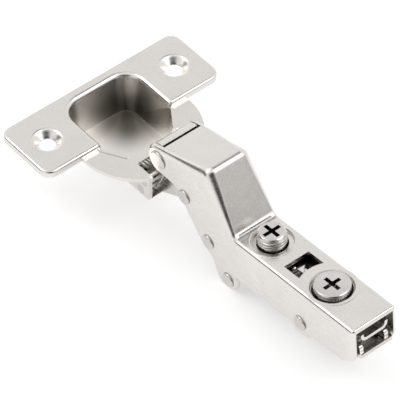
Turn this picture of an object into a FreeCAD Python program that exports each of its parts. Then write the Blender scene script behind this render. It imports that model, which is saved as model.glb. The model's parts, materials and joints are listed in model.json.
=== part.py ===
import FreeCAD, Part
import math
import os
from types import SimpleNamespace

# A concealed cabinet hinge for an inset door, opened about 85 degrees.
# Millimetres. X runs along the screw wings of the cup, +Y away from the arm, +Z out of the door.
# The origin is the centre of the cup's bore, on top of the flange.

os.makedirs("parts", exist_ok=True)
doc = FreeCAD.newDocument("CupHinge")
V = FreeCAD.Vector
X_AXIS = V(1, 0, 0)

# Driving dimensions. Places in the cup are (y, z) from the origin; places in the arm are
# (u, v), with u along the arm towards the cup and v up from its top face. over is how far a
# cutting outline runs past the face that it opens.
SIZES = [
    ("arm_width", 14.3),
    ("arm_sheet", 1.2),
    ("over", 1.0),
    ("flange_width", 57.8),
    ("flange_front", 1.0),
    ("flange_back", 21.2),
    ("flange_thick", 2.0),
    ("flange_corner", 3.2),
    ("flange_round", 0.8),
    ("wing_rim", 1.2),
    ("wing_hollow", 0.9),
    ("wing_length", 10.5),
    ("screw_edge", 7.9),
    ("screw_spacing", "=flange_width - 2 * screw_edge"),
    ("screw_line", 11.0),
    ("screw_hole_radius", 2.2),
    ("countersink_radius", 4.0),
    ("boss_radius", 4.8),
    ("cup_radius", 17.1),
    ("shoulder_drop", 1.75),
    ("shoulder_thick", 1.2),
    ("nose_gap", 0.45),
    ("channel_width", "=arm_width + 2 * nose_gap"),
    ("channel_wall", 0.9),
    ("channel_start", 4.8),
    ("channel_front", 14.9),
    ("channel_corner", 4.0),
    ("channel_round", 2.0),
    ("pocket_shoulder", 3.6),
    ("pocket_width", "=channel_width + 2 * pocket_shoulder"),
    ("pocket_back", 17.7),
    ("pocket_front", 0.5),
    ("pocket_corner", 5.5),
    ("pocket_mouth", 1.5),
    ("pocket_round", 1.3),
    ("pocket_draft", 11.0),
    ("cup_wall", 1.0),
    ("cup_floor", 11.3),
    ("floor_thick", 1.0),
    ("outer_pivot_y", -12.8),
    ("outer_pivot_z", -4.8),
    ("inner_pivot_y", -11.4),
    ("inner_pivot_z", -8.5),
    ("spring_pin_y", -6.2),
    ("spring_pin_z", -8.8),
    ("link_pin_radius", 1.25),
    ("spring_pin_radius", 1.1),
    ("stub_gap", 0.1),
    ("link_gap", 0.25),
    ("outer_link_length", 11.215),
    ("outer_link_angle", 111.0),
    ("outer_link_sheet", 1.0),
    ("outer_link_width", "=arm_width - 2 * arm_sheet - 2 * link_gap"),
    ("outer_eye_radius", 2.3),
    ("outer_knuckle_radius", 3.0),
    ("outer_hood_radius", 4.1),
    ("outer_hood_angle", -21.0),
    ("outer_web_start", 5.0),
    ("inner_gap", 0.3),
    ("inner_link_sheet", 1.0),
    ("inner_link_width", "=outer_link_width - 2 * outer_link_sheet - 2 * inner_gap"),
    ("inner_eye_radius", 2.5),
    ("inner_web_start", 1.0),
    ("inner_web_end", 0.6),
    ("slot_back", 1.05),
    ("slot_ahead", 0.48),
    ("slot_across", 0.2),
    ("slot_clearance", 0.4),
    ("slot_wall", 1.0),
    ("spring_wire", 0.8),
    ("spring_gap", 0.2),
    ("spring_pitch", 0.95),
    ("spring_side_gap", 0.75),
    ("spring_room", "=outer_link_width - 2 * outer_link_sheet - 2 * spring_side_gap"),
    ("spring_turns", "=floor(spring_room / spring_pitch)"),
    ("spring_link_angle", 204.0),
    ("spring_link_leg", 10.2),
    ("spring_floor_angle", 270.0),
    ("spring_floor_leg", 6.0),
    ("arm_tilt", -5.34),
    ("arm_rear", -49.5),
    ("crank_foot", -4.8),
    ("crest_u", 4.5),
    ("crest_v", 16.6),
    ("crest_radius", 2.0),
    ("foot_radius", 2.5),
    ("nose_end_u", 22.5),
    ("nose_end_v", 12.6),
    ("nose_radius", 4.4),
    ("nose_top_round", 4.0),
    ("nose_low_round", 4.2),
    ("side_depth", 13.8),
    ("bend_radius", 1.1),
    ("crest_bend", 3.0),
    ("nose_bend", 1.1),
    ("front_rivet_u", 24.06),
    ("front_rivet_v", 8.06),
    ("front_rivet_radius", 1.6),
    ("front_head_radius", 2.7),
    ("rear_rivet_u", 14.33),
    ("rear_rivet_v", 1.91),
    ("spacer_rivet_u", 5.75),
    ("spacer_rivet_v", -7.76),
    ("lower_rivet_u", -1.4),
    ("lower_rivet_v", -16.0),
    ("tilt_pin_u", -29.5),
    ("tilt_pin_v", -10.9),
    ("rivet_radius", 1.5),
    ("rivet_head_radius", 2.1),
    ("rivet_head_thick", 0.5),
    ("chin_ahead", 3.4),
    ("chin_above", 0.8),
    ("chin_round", 1.5),
    ("knee_ahead", 1.4),
    ("knee_below", 2.3),
    ("knee_round", 2.0),
    ("hip_ahead", 3.5),
    ("hip_below", 1.9),
    ("hip_round", 2.5),
    ("brow_ahead", 6.2),
    ("brow_rise", 1.0),
    ("brow_round", 1.2),
    ("lobe_radius", 3.3),
    ("lobe_flare", 0.6),
    ("lobe_front_round", 2.7),
    ("lobe_rear_round", 3.1),
    ("lobe_valley", 0.8),
    ("pin_lobe_drop", 1.0),
    ("pin_lobe_taper", 1.0),
    ("pin_lobe_round", 1.6),
    ("pin_lobe_valley", 1.5),
    ("pin_lobe_rise", 0.3),
    ("tail_length", 4.8),
    ("tail_rise", 0.4),
    ("tail_round", 3.0),
    ("heel_length", 0.9),
    ("heel_rise", 2.9),
    ("heel_round", 1.4),
    ("toe_rise", 5.1),
    ("end_round", 0.6),
    ("running_clearance", 0.05),
    ("side_screw_u", -11.4),
    ("side_screw_margin", 2.35),
    ("side_screw_top", 3.3),
    ("side_screw_neck", 1.5),
    ("side_screw_button", 2.4),
    ("side_screw_bevel", 0.4),
    ("button_thick", 0.7),
    ("screw_gap", 0.5),
    ("dish_margin", 1.15),
    ("dish_radius", "=arm_width / 2 - dish_margin"),
    ("side_screw_radius", "=dish_radius - side_screw_margin"),
    ("dish_backing", 0.2),
    ("dish_depth", 0.8),
    ("dish_slope", 0.6),
    ("cam_u", -34.0),
    ("cam_margin", 1.2),
    ("cam_radius", "=dish_radius - cam_margin"),
    ("cam_top", 1.1),
    ("cam_head", 2.8),
    ("cam_bevel", 0.3),
    ("cam_collar", 1.0),
    ("cam_neck", 2.5),
    ("cam_throw", 2.3),
    ("cam_swing_angle", 60.0),
    ("cam_pin_radius", 0.9),
    ("cam_gap", 0.5),
    ("cross_length", 5.2),
    ("cross_width", 1.1),
    ("cross_depth", 2.0),
    ("window_margin", 3.15),
    ("window_width", "=arm_width - 2 * window_margin"),
    ("window_front", -20.5),
    ("window_bridge", 3.4),
    ("window_rear_radius", "=cam_radius + cam_gap + window_bridge"),
    ("plate_top", 3.2),
    ("plate_sheet", 1.0),
    ("plate_gap", 0.2),
    ("plate_side", 0.9),
    ("plate_width", "=arm_width - 2 * arm_sheet - 2 * plate_gap"),
    ("plate_front", -6.5),
    ("plate_rear", -39.0),
    ("plate_side_depth", 6.6),
    ("plate_corner", 1.0),
    ("plate_window_margin", 3.05),
    ("plate_window_round", 0.5),
    ("ear_radius", 2.6),
    ("ear_round", 2.3),
    ("ear_flare", 1.4),
    ("ear_valley", 2.0),
    ("layer_gap", 0.2),
    ("base_gap", 0.25),
    ("base_sheet", 1.0),
    ("base_side", 1.2),
    ("base_width", "=plate_width - 2 * plate_side - 2 * base_gap"),
    ("base_front", -4.0),
    ("base_front_slant", 2.5),
    ("base_front_rise", 2.0),
    ("base_web_end", -40.5),
    ("base_depth", 13.4),
    ("base_step", 7.0),
    ("base_round", 0.8),
    ("base_tail", -44.5),
    ("base_rear", -49.0),
    ("base_rear_depth", 9.8),
    ("slide_travel", 2.0),
    ("guide_clearance", 0.15),
    ("slot_play", 0.3),
    ("post_u", -23.5),
    ("post_radius", 0.8),
    ("post_top", 1.9),
    ("sill_gap", 0.1),
    ("sill_top", 8.6),
    ("sill_sheet", 1.2),
    ("sill_start", -46.0),
    ("sill_end", -50.1),
    ("sill_chamfer", 2.5),
    ("sill_chamfer_width", 0.85),
    ("sill_rim", 0.9),
    ("sill_window_width", 6.0),
    ("lever_gap", 0.45),
    ("lever_width", "=arm_width - 2 * arm_sheet - 2 * lever_gap"),
    ("lever_sheet", 0.8),
    ("lever_floor", 5.3),
    ("lever_front", -42.6),
    ("lever_shoulder", -46.2),
    ("lever_corner", 1.0),
    ("handle_inset", 1.2),
    ("handle_sheet", 0.9),
    ("handle_top", 3.0),
    ("handle_round", 1.8),
    ("handle_rear", -49.3),
    ("lever_pin_u", -43.5),
    ("lever_pin_v", -9.5),
    ("lever_pin_radius", 1.1),
    ("lever_pin_stub", 0.1),
    ("lever_eye_radius", 2.2),
    ("lever_eye_round", 1.8),
    ("lever_eye_flare", 0.5),
    ("lever_leg_round", 1.0),
    ("lever_spring_wire", 0.6),
    ("lever_spring_pitch", 0.75),
    ("lever_spring_turns", 4.0),
    ("lever_spring_front_leg", 4.6),
    ("lever_spring_rear_leg", 6.0),
    ("lever_spring_front_angle", 200.0),
    ("lever_spring_rear_angle", 270.0),
]

sheet = doc.addObject("Spreadsheet::Sheet", "sizes")
for row, (alias, value) in enumerate(SIZES, start=1):
    sheet.set("A%d" % row, alias)
    sheet.set("B%d" % row, str(value))
    sheet.setAlias("B%d" % row, alias)
doc.recompute()
p = SimpleNamespace(**{alias: float(sheet.get(alias)) for alias, value in SIZES})

NEAR = 0.01
nodes = []


# Frames of the moving groups

def turned(origin, degrees):
    """A frame at (y, z) whose own Y axis points degrees up from the world's Y axis."""
    return FreeCAD.Placement(V(0, origin[0], origin[1]), FreeCAD.Rotation(X_AXIS, degrees))


def in_frame(frame, u, v):
    """World (y, z) of a place given in a frame."""
    point = frame.multVec(V(0, u, v))
    return point.y, point.z


CUP = FreeCAD.Placement()
outer_pivot = (p.outer_pivot_y, p.outer_pivot_z)
inner_pivot = (p.inner_pivot_y, p.inner_pivot_z)
OUTER = turned(outer_pivot, p.outer_link_angle)
front_joint = in_frame(OUTER, p.outer_link_length, 0)
lean = FreeCAD.Rotation(X_AXIS, p.arm_tilt).multVec(V(0, p.front_rivet_u, p.front_rivet_v))
ARM = turned((front_joint[0] - lean.y, front_joint[1] - lean.z), p.arm_tilt)
rear_joint = in_frame(ARM, p.rear_rivet_u, p.rear_rivet_v)
inner_reach = (rear_joint[0] - inner_pivot[0], rear_joint[1] - inner_pivot[1])
inner_length = math.hypot(inner_reach[0], inner_reach[1])
inner_angle = math.degrees(math.atan2(inner_reach[1], inner_reach[0]))
INNER = turned(inner_pivot, inner_angle)


# Sketch outlines

def outline(points):
    """Closed outline of straight runs. A point is (x, y) or (x, y, corner radius)."""
    corners = []
    for index, point in enumerate(points):
        here = V(point[0], point[1], 0)
        before = V(points[index - 1][0], points[index - 1][1], 0)
        following = points[(index + 1) % len(points)]
        after = V(following[0], following[1], 0)
        if len(point) < 3 or point[2] == 0:
            corners.append((here, None, here))
            continue
        to_before = (before - here).normalize()
        to_after = (after - here).normalize()
        half = to_before.getAngle(to_after) / 2
        back = point[2] / math.tan(half)
        middle = (to_before + to_after).normalize() * (point[2] / math.sin(half) - point[2])
        corners.append((here + to_before * back, here + middle, here + to_after * back))
    edges = []
    for index, (start, middle, end) in enumerate(corners):
        if middle is not None:
            edges.append(Part.Arc(start, middle, end))
        next_start = corners[(index + 1) % len(corners)][0]
        if end.distanceToPoint(next_start) > 1e-6:
            edges.append(Part.LineSegment(end, next_start))
    return edges


def circle(x, y, radius):
    return Part.Circle(V(x, y, 0), V(0, 0, 1), radius)


def arc(centre, radius, start, end):
    """Arc from angle start to angle end, in degrees, about a centre (x, y)."""
    places = []
    for degrees in (start, (start + end) / 2, end):
        angle = math.radians(degrees)
        places.append(V(centre[0] + radius * math.cos(angle),
                        centre[1] + radius * math.sin(angle), 0))
    return Part.Arc(*places)


def chain(edges):
    """Join a row of arcs into a closed outline with straight runs between their ends."""
    joined = []
    for index, edge in enumerate(edges):
        following = edges[(index + 1) % len(edges)]
        joined.append(edge)
        if edge.EndPoint.distanceToPoint(following.StartPoint) > 1e-6:
            joined.append(Part.LineSegment(edge.EndPoint, following.StartPoint))
    return joined


def slot(start, end, radius):
    """Outline of a slot whose end centres are (x, y) places."""
    along = math.degrees(math.atan2(end[1] - start[1], end[0] - start[0]))
    return chain([arc(end, radius, along - 90, along + 90),
                  arc(start, radius, along + 90, along + 270)])


def inset(points, distance):
    """An open run of points moved to the right of its direction by a distance."""
    lines = []
    for first, second in zip(points, points[1:]):
        along = V(second[0] - first[0], second[1] - first[1], 0).normalize()
        aside = V(along.y, -along.x, 0) * distance
        lines.append((V(first[0], first[1], 0) + aside, along))
    moved = [lines[0][0]]
    for (base, along), (other, direction) in zip(lines, lines[1:]):
        gap = other - base
        reach = gap.cross(direction).z / along.cross(direction).z
        moved.append(base + along * reach)
    last = V(points[-1][0], points[-1][1], 0)
    base, along = lines[-1]
    moved.append(base + along * (last - base).dot(along))
    return [(place.x, place.y) for place in moved]


# Features of a body

def body(name, frame):
    made = doc.addObject("PartDesign::Body", name)
    made.Label = name
    made.Placement = frame
    nodes.append(made)
    return made


def sketch(owner, plane, geometry, shift=0):
    """A sketch on an origin plane of a body, moved along the plane's normal by shift."""
    made = owner.newObject("Sketcher::SketchObject", owner.Name + "_sketch")
    origin = [item for item in owner.Origin.OriginFeatures if item.Role == plane][0]
    made.AttachmentSupport = [(origin, "")]
    made.MapMode = "FlatFace"
    made.AttachmentOffset = FreeCAD.Placement(V(0, 0, shift), FreeCAD.Rotation())
    made.addGeometry(geometry, False)
    return made


def feature(owner, kind, profile, length, side="Symmetric", reverse=False, taper=0):
    made = owner.newObject("PartDesign::" + kind, owner.Name + "_" + kind.lower())
    made.Profile = profile
    profile.Visibility = False
    made.SideType = side
    if length is None:
        made.Type = "ThroughAll"
    else:
        made.setExpression("Length", length)
    made.Reversed = reverse
    if taper:
        made.TaperAngle = taper
    doc.recompute()
    return made


def pad(owner, plane, geometry, length, **options):
    shift = options.pop("shift", 0)
    return feature(owner, "Pad", sketch(owner, plane, geometry, shift), length, **options)


def pocket(owner, plane, geometry, length=None, **options):
    shift = options.pop("shift", 0)
    before = owner.Shape.Volume
    made = feature(owner, "Pocket", sketch(owner, plane, geometry, shift), length, **options)
    if not owner.Shape.Volume < before - 1e-6:
        raise ValueError("a pocket of %s cuts nothing" % owner.Label)
    return made


def revolution(owner, plane, geometry, axis="H_Axis"):
    profile = sketch(owner, plane, geometry)
    made = owner.newObject("PartDesign::Revolution", owner.Name + "_turned")
    made.Profile = profile
    made.ReferenceAxis = (profile, [axis])
    made.Angle = 360
    profile.Visibility = False
    doc.recompute()
    return made


def dress(owner, kind, radius, wanted):
    """A fillet or chamfer on each edge of the body for which wanted(edge) is true."""
    base = owner.Tip
    names = ["Edge%d" % number for number, edge in enumerate(base.Shape.Edges, start=1)
             if wanted(edge)]
    made = owner.newObject("PartDesign::" + kind, owner.Name + "_" + kind.lower())
    made.Base = (base, names)
    made.setExpression("Radius" if kind == "Fillet" else "Size", radius)
    doc.recompute()
    return made


def flat_at(edge, height):
    """Whether an edge lies wholly at one height z."""
    box = edge.BoundBox
    return abs(box.ZMin - height) < NEAR and abs(box.ZMax - height) < NEAR


def is_round(edge, radius):
    """Whether an edge is a circle of a radius."""
    return edge.Curve.TypeId == "Part::GeomCircle" and abs(edge.Curve.Radius - radius) < NEAR


# The cup: screw flange, shoulder disc, drafted pocket and a narrow channel towards the arm

def pocket_outline(grow):
    """The wide pocket seen from above, with its front corners running in to the channel."""
    half = p.pocket_width / 2 + grow
    channel = p.channel_width / 2 + grow
    back = p.pocket_back + grow
    corner = p.pocket_corner + grow
    front = -p.channel_start - grow
    return outline([(-half, p.pocket_front), (-half, back, corner), (half, back, corner),
                    (half, p.pocket_front), (channel, front), (-channel, front)])


def make_cup():
    cup = body("hinge_cup", CUP)
    half = p.flange_width / 2
    pad(cup, "XY_Plane",
        outline([(-half, p.flange_front, p.flange_corner), (-half, p.flange_back, p.flange_corner),
                 (half, p.flange_back, p.flange_corner), (half, p.flange_front, p.flange_corner)]),
        "sizes.flange_thick", side="One side", reverse=True)
    pad(cup, "XY_Plane", [circle(0, 0, p.cup_radius)], "sizes.shoulder_thick",
        side="One side", reverse=True, shift=-p.shoulder_drop)
    pad(cup, "XY_Plane", pocket_outline(p.cup_wall),
        "sizes.cup_floor + sizes.floor_thick - sizes.pocket_mouth",
        side="One side", reverse=True, shift=-p.pocket_mouth, taper=-p.pocket_draft)

    outer_half = p.channel_width / 2 + p.channel_wall
    bottom = -p.cup_floor - p.floor_thick
    outer_round = p.channel_round + p.channel_wall
    pad(cup, "XZ_Plane",
        outline([(-outer_half, -p.shoulder_drop), (-outer_half, bottom, outer_round),
                 (outer_half, bottom, outer_round), (outer_half, -p.shoulder_drop)]),
        "sizes.channel_front + sizes.flange_front", side="One side", shift=-p.flange_front)

    pocket(cup, "XY_Plane", pocket_outline(0), "sizes.pocket_mouth", side="One side")
    pocket(cup, "XY_Plane", pocket_outline(0), "sizes.cup_floor - sizes.pocket_mouth",
           side="One side", shift=-p.pocket_mouth, taper=-p.pocket_draft)
    inner_half = p.channel_width / 2
    pocket(cup, "XZ_Plane",
           outline([(-inner_half, p.over), (-inner_half, -p.cup_floor, p.channel_round),
                    (inner_half, -p.cup_floor, p.channel_round), (inner_half, p.over)]),
           side="One side", reverse=True)

    front = -p.channel_front
    ahead = front - p.over
    below = bottom - p.over
    pocket(cup, "YZ_Plane",
           outline([(ahead, bottom + p.channel_corner), (front, bottom + p.channel_corner),
                    (front, bottom, p.channel_corner), (front + p.channel_corner, bottom),
                    (front + p.channel_corner, below), (ahead, below)]))

    pocket(cup, "YZ_Plane", [circle(p.outer_pivot_y, p.outer_pivot_z, p.link_pin_radius),
                             circle(p.inner_pivot_y, p.inner_pivot_z, p.link_pin_radius),
                             circle(p.spring_pin_y, p.spring_pin_z, p.spring_pin_radius)])

    near = half - p.wing_length
    far = half - p.wing_rim
    low = p.flange_front + p.wing_rim
    high = p.flange_back - p.wing_rim
    corner = p.flange_corner - p.wing_rim
    for side in (-1, 1):
        pocket(cup, "XY_Plane",
               outline([(side * near, low, corner), (side * near, high, corner),
                        (side * far, high, corner), (side * far, low, corner)]),
               "sizes.wing_hollow", side="One side", reverse=True, shift=-p.flange_thick)
    screws = [(side * p.screw_spacing / 2, p.screw_line) for side in (-1, 1)]
    pad(cup, "XY_Plane", [circle(x, y, p.boss_radius) for x, y in screws],
        "sizes.flange_thick", side="One side", reverse=True)
    pocket(cup, "XY_Plane", [circle(x, y, p.screw_hole_radius) for x, y in screws])
    dress(cup, "Chamfer", "sizes.countersink_radius - sizes.screw_hole_radius",
          lambda edge: flat_at(edge, 0) and is_round(edge, p.screw_hole_radius))

    mouth = p.pocket_width / 2
    dress(cup, "Fillet", "sizes.pocket_round",
          lambda edge: flat_at(edge, 0) and abs(edge.CenterOfMass.x) < mouth + NEAR
          and edge.BoundBox.YMax < p.pocket_back + NEAR
          and edge.BoundBox.YMin > p.flange_front - NEAR
          and edge.BoundBox.YMax > p.flange_front + NEAR)
    dress(cup, "Fillet", "sizes.flange_round",
          lambda edge: flat_at(edge, 0) and (abs(edge.CenterOfMass.x) > half - p.flange_corner
                                             or edge.BoundBox.YMin > p.flange_back - NEAR))


def make_pin(name, frame, place, radius, half_length, start=None):
    """A plain pin across the hinge, or one stub of it from start to half_length."""
    pin = doc.addObject("Part::Cylinder", name)
    pin.Label = name
    pin.setExpression("Radius", "sizes." + radius)
    begin = -half_length if start is None else start
    pin.Height = half_length - begin
    turn = FreeCAD.Placement(V(begin, place[0], place[1]), FreeCAD.Rotation(V(0, 1, 0), 90))
    pin.Placement = frame.multiply(turn)
    nodes.append(pin)


def make_cup_pins():
    reach = p.channel_width / 2 + p.channel_wall
    stub = p.outer_link_width / 2 - p.outer_link_sheet - p.stub_gap
    make_pin("outer_link_pin_right", CUP, outer_pivot, "link_pin_radius", reach, stub)
    make_pin("outer_link_pin_left", CUP, outer_pivot, "link_pin_radius", -stub, -reach)
    make_pin("inner_link_pin", CUP, inner_pivot, "link_pin_radius", reach)
    make_pin("spring_pin", CUP, (p.spring_pin_y, p.spring_pin_z), "spring_pin_radius", reach)


def torsion_spring(name, frame, place, pin_radius, wire, pitch, turns, first, last):
    """A coil about X round a pin. first and last are each (angle on the coil, leg length)."""
    mean = pin_radius + p.spring_gap + wire / 2
    total = turns + (last[0] - first[0]) / 360
    length = pitch * total
    coil = Part.makeHelix(pitch, length, mean)
    profile = Part.Wire([Part.Circle(V(mean, 0, 0), V(0, 1, 0), wire / 2).toShape()])
    solid = Part.Wire(coil.Edges).makePipeShell([profile], True, True)
    angle = math.radians(360 * total)
    along = V(-math.sin(angle), math.cos(angle), 0)
    finish = V(mean * math.cos(angle), mean * math.sin(angle), length)
    legs = [Part.makeCylinder(wire / 2, first[1], V(mean, 0, 0), V(0, -1, 0)),
            Part.makeCylinder(wire / 2, last[1], finish, along)]
    spring = doc.addObject("Part::Feature", name)
    spring.Shape = solid.fuse(legs).removeSplitter()
    spring.Label = name
    across = FreeCAD.Placement(V(-length / 2, place[0], place[1]), FreeCAD.Rotation(V(0, 1, 0), 90))
    roll = FreeCAD.Placement(V(0, 0, 0), FreeCAD.Rotation(V(0, 0, 1), first[0] - 270))
    spring.Placement = frame.multiply(across).multiply(roll)
    nodes.append(spring)


# The two links

def make_outer_link():
    """Two side plates joined by a web that is rolled round the front joint."""
    link = body("outer_link", OUTER)
    length = p.outer_link_length
    start = (0, 0)
    knuckle = (length, 0)
    rear = math.degrees(math.asin((p.outer_knuckle_radius - p.outer_eye_radius) / length)) + 90
    front = math.degrees(math.asin((p.outer_hood_radius - p.outer_eye_radius) / length)) + 90
    top = p.outer_hood_angle
    sides = [arc(knuckle, p.outer_knuckle_radius, rear, top),
             arc(knuckle, p.outer_hood_radius, top, -front),
             arc(start, p.outer_eye_radius, -front, rear - 360)]
    pad(link, "YZ_Plane", chain(sides), "sizes.outer_link_width")

    hood_inner = p.outer_hood_radius - p.outer_link_sheet
    inside = arc(knuckle, hood_inner, top, -front)
    aside = math.radians(-front)
    web = p.outer_web_start
    web_place = V((p.outer_eye_radius - p.outer_link_sheet) * math.cos(aside),
                  (p.outer_eye_radius - p.outer_link_sheet) * math.sin(aside), 0)
    reach = (web - web_place.x) / (inside.EndPoint.x - web_place.x)
    web_end = web_place + (inside.EndPoint - web_place) * reach
    out = 2 * length
    ray = math.radians(top)
    corners = [inside.EndPoint, web_end, V(web, -out, 0), V(-out, -out, 0), V(-out, out, 0),
               V(out, out, 0), V(length + out * math.cos(ray), out * math.sin(ray), 0),
               inside.StartPoint]
    runs = [Part.LineSegment(first, second) for first, second in zip(corners, corners[1:])]
    pocket(link, "YZ_Plane", [inside] + runs,
           "sizes.outer_link_width - 2 * sizes.outer_link_sheet")
    pocket(link, "YZ_Plane",
           [circle(0, 0, p.link_pin_radius + p.running_clearance),
            circle(length, 0, p.front_rivet_radius + p.running_clearance)])


def make_inner_link():
    """A channel link with a rolled eye in the cup and a slot round the rear rivet of the arm."""
    link = body("inner_link", INNER)
    slot_radius = p.rivet_radius + p.slot_clearance
    end_radius = slot_radius + p.slot_wall
    near = (inner_length - p.slot_back, p.slot_across)
    far = (inner_length + p.slot_ahead, p.slot_across)
    spread = math.degrees(math.asin((end_radius - p.inner_eye_radius) / far[0]))
    pad(link, "YZ_Plane",
        chain([arc(far, end_radius, -90 - spread, 90 + spread),
               arc((0, 0), p.inner_eye_radius, 90 + spread, 270 - spread)]),
        "sizes.inner_link_width")
    web_start = p.inner_eye_radius + p.inner_web_start
    web_stop = near[0] - end_radius - p.inner_web_end
    out = 2 * inner_length
    web = p.inner_eye_radius - p.inner_link_sheet
    pocket(link, "YZ_Plane",
           outline([(web_start, -out), (web_start, web), (web_stop, web), (web_stop, out),
                    (out, out), (out, -out)]),
           "sizes.inner_link_width - 2 * sizes.inner_link_sheet")
    pocket(link, "YZ_Plane", slot(near, far, slot_radius)
           + [circle(0, 0, p.link_pin_radius + p.running_clearance)])


# The arm: a channel with a high crank, lobes for the cross rivets and two round dishes. Its
# long bends open out towards the crest.

def bend_size(point):
    """The bend radius at a point of a long top edge: it grows up the crank to the crest."""
    if point.y < p.crank_foot:
        return p.bend_radius
    if point.y < p.crest_u:
        share = (point.y - p.crank_foot) / (p.crest_u - p.crank_foot)
        return p.bend_radius + (p.crest_bend - p.bend_radius) * share
    share = (point.y - p.crest_u) / (p.front_rivet_u - p.crest_u)
    return p.crest_bend + (p.nose_bend - p.crest_bend) * min(share, 1)


def bend_arm(channel):
    """Round the long top edges of the channel."""
    bends = []
    for number, edge in enumerate(channel.Shape.Edges, start=1):
        points = [ARM.inverse().multVec(vertex.Point) for vertex in edge.Vertexes]
        middle = ARM.inverse().multVec(edge.valueAt((edge.FirstParameter + edge.LastParameter) / 2))
        on_side = all(abs(abs(point.x) - p.arm_width / 2) < NEAR for point in points + [middle])
        on_top = all(abs(top_height(point.y) - point.z) < p.crest_radius for point in points)
        if on_side and on_top and len(points) == 2 and middle.z > -NEAR and points[0].y != points[1].y:
            bends.append((number, bend_size(points[0]), bend_size(points[1])))
    arm = doc.addObject("Part::Fillet", "hinge_arm")
    arm.Label = "hinge_arm"
    arm.Base = channel
    arm.Edges = bends
    nodes.remove(channel)
    nodes.append(arm)
    doc.recompute()


def top_height(u):
    """Height of the arm's top line at u."""
    if u < p.crank_foot:
        return 0
    if u < p.crest_u:
        return p.crest_v * (u - p.crank_foot) / (p.crest_u - p.crank_foot)
    slope = (p.nose_end_v - p.crest_v) / (p.nose_end_u - p.crest_u)
    return p.crest_v + slope * (u - p.crest_u)


def make_arm():
    arm = body("arm_channel", ARM)
    top = [(p.arm_rear, 0), (p.crank_foot, 0), (p.crest_u, p.crest_v), (p.nose_end_u, p.nose_end_v)]
    nose_front = p.front_rivet_u + p.nose_radius
    nose_low = p.front_rivet_v - p.nose_radius
    nose_slope = (p.nose_end_v - p.crest_v) / (p.nose_end_u - p.crest_u)
    nose_top = p.nose_end_v + nose_slope * (nose_front - p.nose_end_u)
    lobe = p.lobe_radius
    low = -p.side_depth
    pin_lobe_v = p.tilt_pin_v - lobe - p.pin_lobe_drop
    sides = [
        (p.arm_rear, 0, p.end_round),
        (p.crank_foot, 0, p.foot_radius),
        (p.crest_u, p.crest_v, p.crest_radius),
        (nose_front, nose_top, p.nose_top_round),
        (nose_front, nose_low, p.nose_low_round),
        (p.rear_rivet_u + p.chin_ahead, p.rear_rivet_v + p.chin_above, p.chin_round),
        (p.rear_rivet_u + p.knee_ahead, p.rear_rivet_v - p.knee_below, p.knee_round),
        (p.spacer_rivet_u + p.hip_ahead, p.spacer_rivet_v - p.hip_below, p.hip_round),
        (p.lower_rivet_u + p.brow_ahead, low + p.brow_rise, p.brow_round),
        (p.lower_rivet_u + lobe + p.lobe_flare, p.lower_rivet_v - lobe, p.lobe_front_round),
        (p.lower_rivet_u - lobe, p.lower_rivet_v - lobe, p.lobe_rear_round),
        (p.lower_rivet_u - lobe, low, p.lobe_valley),
        (p.tilt_pin_u + lobe + p.lobe_flare, low, p.pin_lobe_valley),
        (p.tilt_pin_u + lobe - p.pin_lobe_taper, pin_lobe_v, p.pin_lobe_round),
        (p.tilt_pin_u - lobe + p.pin_lobe_taper, pin_lobe_v, p.pin_lobe_round),
        (p.tilt_pin_u - lobe - p.lobe_flare, low + p.pin_lobe_rise, p.pin_lobe_valley),
        (p.arm_rear + p.tail_length, low + p.tail_rise, p.tail_round),
        (p.arm_rear + p.heel_length, low + p.heel_rise, p.heel_round),
        (p.arm_rear, low + p.toe_rise, p.end_round),
    ]
    pad(arm, "YZ_Plane", outline(sides), "sizes.arm_width")

    under = inset(top, p.arm_sheet)
    deep = 3 * p.side_depth
    inside = [
        (p.arm_rear - deep, under[0][1]),
        (under[1][0], under[1][1], p.foot_radius + p.arm_sheet),
        (under[2][0], under[2][1], p.crest_radius - p.arm_sheet),
        (p.nose_end_u, under[3][1]),
        (p.nose_end_u, deep),
        (deep, deep),
        (deep, -deep),
        (p.arm_rear - deep, -deep),
    ]
    pocket(arm, "YZ_Plane", outline(inside), "sizes.arm_width - 2 * sizes.arm_sheet")

    pad(arm, "XY_Plane", [circle(0, p.side_screw_u, p.dish_radius - p.dish_backing)],
        "sizes.dish_depth", side="One side", reverse=True, shift=-p.arm_sheet)
    slope = math.degrees(math.atan(p.dish_slope / p.dish_depth))
    for place in (p.side_screw_u, p.cam_u):
        pocket(arm, "XY_Plane", [circle(0, place, p.dish_radius)], "sizes.dish_depth",
               side="One side", taper=-slope)
    screw_hole = p.side_screw_radius + p.screw_gap
    cam_hole = p.cam_radius + p.cam_gap
    window_half = p.window_width / 2
    window_edge = p.cam_u + math.sqrt(p.window_rear_radius ** 2 - window_half ** 2)
    start = math.degrees(math.atan2(window_edge - p.cam_u, window_half))
    window_rear = arc((0, p.cam_u), p.window_rear_radius, start, 180 - start)
    window = [Part.LineSegment(window_rear.EndPoint, V(-window_half, p.window_front, 0)),
              Part.LineSegment(V(-window_half, p.window_front, 0), V(window_half, p.window_front, 0)),
              Part.LineSegment(V(window_half, p.window_front, 0), window_rear.StartPoint),
              window_rear]
    pocket(arm, "XY_Plane",
           [circle(0, p.side_screw_u, screw_hole), circle(0, p.cam_u, cam_hole)] + window,
           "sizes.arm_sheet + sizes.dish_depth", side="One side")

    pocket(arm, "YZ_Plane", [circle(p.front_rivet_u, p.front_rivet_v, p.front_rivet_radius)]
           + [circle(u, v, p.rivet_radius) for u, v in rivet_places])
    bend_arm(arm)


rivet_places = [(p.rear_rivet_u, p.rear_rivet_v), (p.spacer_rivet_u, p.spacer_rivet_v),
                (p.lower_rivet_u, p.lower_rivet_v), (p.tilt_pin_u, p.tilt_pin_v)]


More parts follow.
